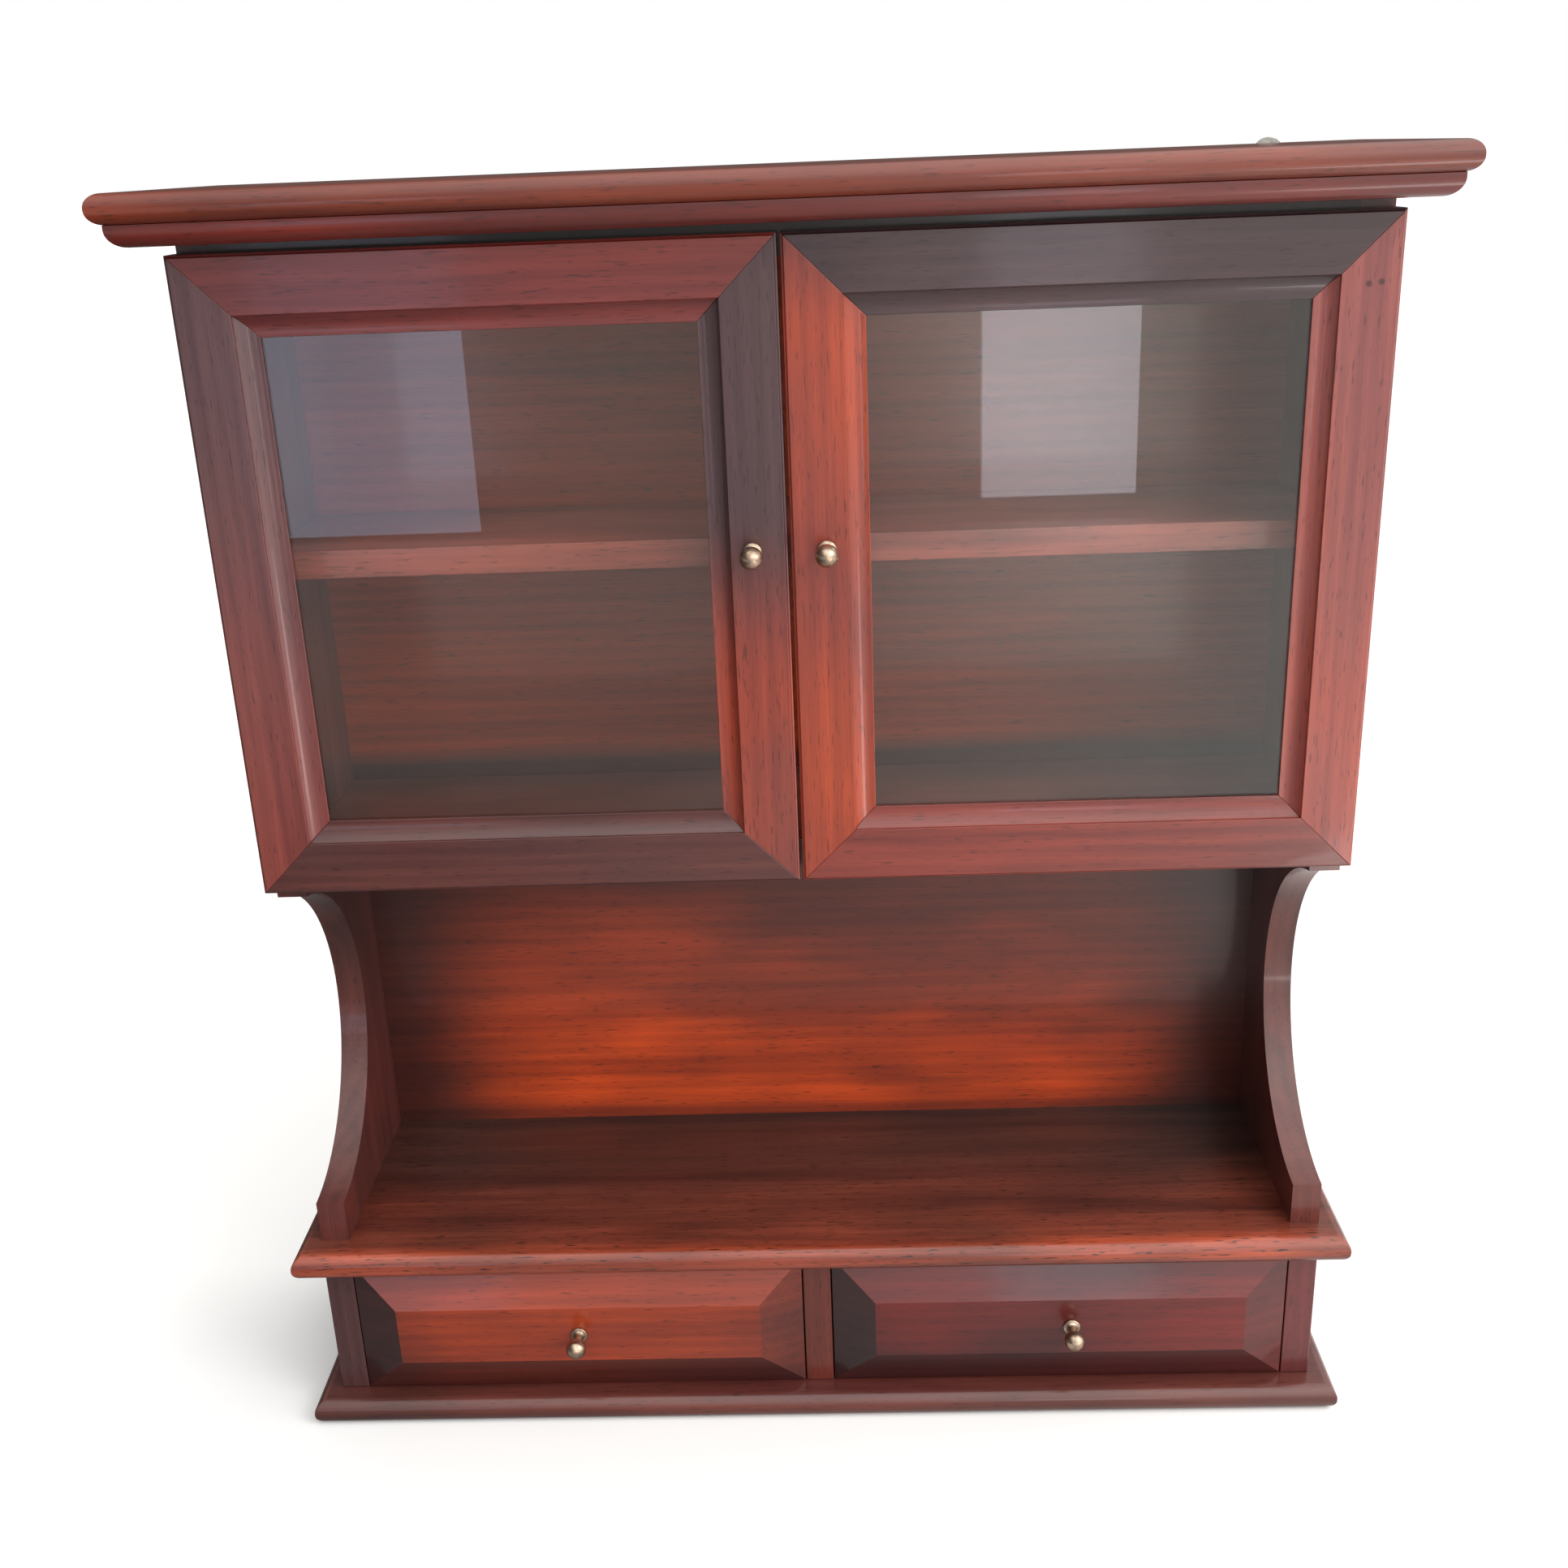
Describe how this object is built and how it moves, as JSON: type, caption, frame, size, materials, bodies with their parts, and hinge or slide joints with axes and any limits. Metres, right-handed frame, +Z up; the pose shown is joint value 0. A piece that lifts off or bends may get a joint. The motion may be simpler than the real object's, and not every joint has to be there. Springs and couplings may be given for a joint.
{
  "type": "miniature display bookcase",
  "caption": "Small stained wood bookcase: a cabinet with glazed doors and an inner shelf, over an open niche with scooped sides and a row of drawers.",
  "frame": {"origin": "centre of the base board's underside", "axes": "+Z up, +X to the right seen from the front, the doors and drawers face -Y"},
  "size_m": [0.5412, 0.1482, 0.6071],
  "materials": {
    "stained_mahogany": "gloss lacquer over red-brown stain",
    "pale_drawer_wood": "planed and waxed",
    "plywood": "thin plywood, sanded",
    "window_glass": "clear float glass",
    "aged_brass": "turned and pressed brass, dulled with age",
    "steel": "zinc plated",
    "brown_plastic": "moulded, matt"
  },
  "bodies": {
    "carcass": {"back_panel": "stained_mahogany", "base_board": "stained_mahogany", "cabinet_floor": "stained_mahogany", "cabinet_top": "stained_mahogany", "cornice_core": "stained_mahogany", "cornice_moulding_front": "stained_mahogany", "cornice_moulding_left": "stained_mahogany", "cornice_moulding_right": "stained_mahogany", "cornice_top_board": "stained_mahogany", "counter_board": "stained_mahogany", "drawer_case_back": "stained_mahogany", "drawer_case_side_left": "stained_mahogany", "drawer_case_side_right": "stained_mahogany", "drawer_divider": "stained_mahogany", "hanger_plates": "aged_brass", "hanger_screws": "aged_brass", "hinge_frame_leaves": "aged_brass", "hinge_frame_screws": "aged_brass", "hinge_pins": "aged_brass", "interior_shelf": "stained_mahogany", "magnet_catches": "brown_plastic", "shelf_pegs": "aged_brass", "side_panel_left": "stained_mahogany", "side_panel_right": "stained_mahogany"},
    "door_left": {"door_left_bottom_rail": "stained_mahogany", "door_left_glass": "window_glass", "door_left_glazing_beads": "stained_mahogany", "door_left_hinge_leaves": "aged_brass", "door_left_hinge_screws": "aged_brass", "door_left_inner_stile": "stained_mahogany", "door_left_knob": "aged_brass", "door_left_knob_screw": "steel", "door_left_outer_stile": "stained_mahogany", "door_left_strike_plate": "steel", "door_left_top_rail": "stained_mahogany"},
    "door_right": {"door_right_bottom_rail": "stained_mahogany", "door_right_glass": "window_glass", "door_right_glazing_beads": "stained_mahogany", "door_right_hinge_leaves": "aged_brass", "door_right_hinge_screws": "aged_brass", "door_right_inner_stile": "stained_mahogany", "door_right_knob": "aged_brass", "door_right_knob_screw": "steel", "door_right_outer_stile": "stained_mahogany", "door_right_strike_plate": "steel", "door_right_top_rail": "stained_mahogany"},
    "drawer_left": {"drawer_left_back": "pale_drawer_wood", "drawer_left_bottom": "plywood", "drawer_left_front": "stained_mahogany", "drawer_left_knob": "aged_brass", "drawer_left_knob_screw": "steel", "drawer_left_side_left": "pale_drawer_wood", "drawer_left_side_right": "pale_drawer_wood"},
    "drawer_right": {"drawer_right_back": "pale_drawer_wood", "drawer_right_bottom": "plywood", "drawer_right_front": "stained_mahogany", "drawer_right_knob": "aged_brass", "drawer_right_knob_screw": "steel", "drawer_right_side_left": "pale_drawer_wood", "drawer_right_side_right": "pale_drawer_wood"}
  },
  "joints": [
    {"name": "door_left_hinge", "type": "hinge", "parent": "carcass", "child": "door_left", "pos_m": [-0.252, -0.03815, 0.4375], "axis": [0, 0, -1], "range_deg": [0, 180]},
    {"name": "door_right_hinge", "type": "hinge", "parent": "carcass", "child": "door_right", "pos_m": [0.252, -0.03815, 0.4375], "axis": [0, 0, 1], "range_deg": [0, 180]},
    {"name": "drawer_left_slide", "type": "slide", "parent": "carcass", "child": "drawer_left", "axis": [0, -1, 0], "range_m": [0, 0.08]},
    {"name": "drawer_right_slide", "type": "slide", "parent": "carcass", "child": "drawer_right", "axis": [0, -1, 0], "range_m": [0, 0.08]}
  ]
}
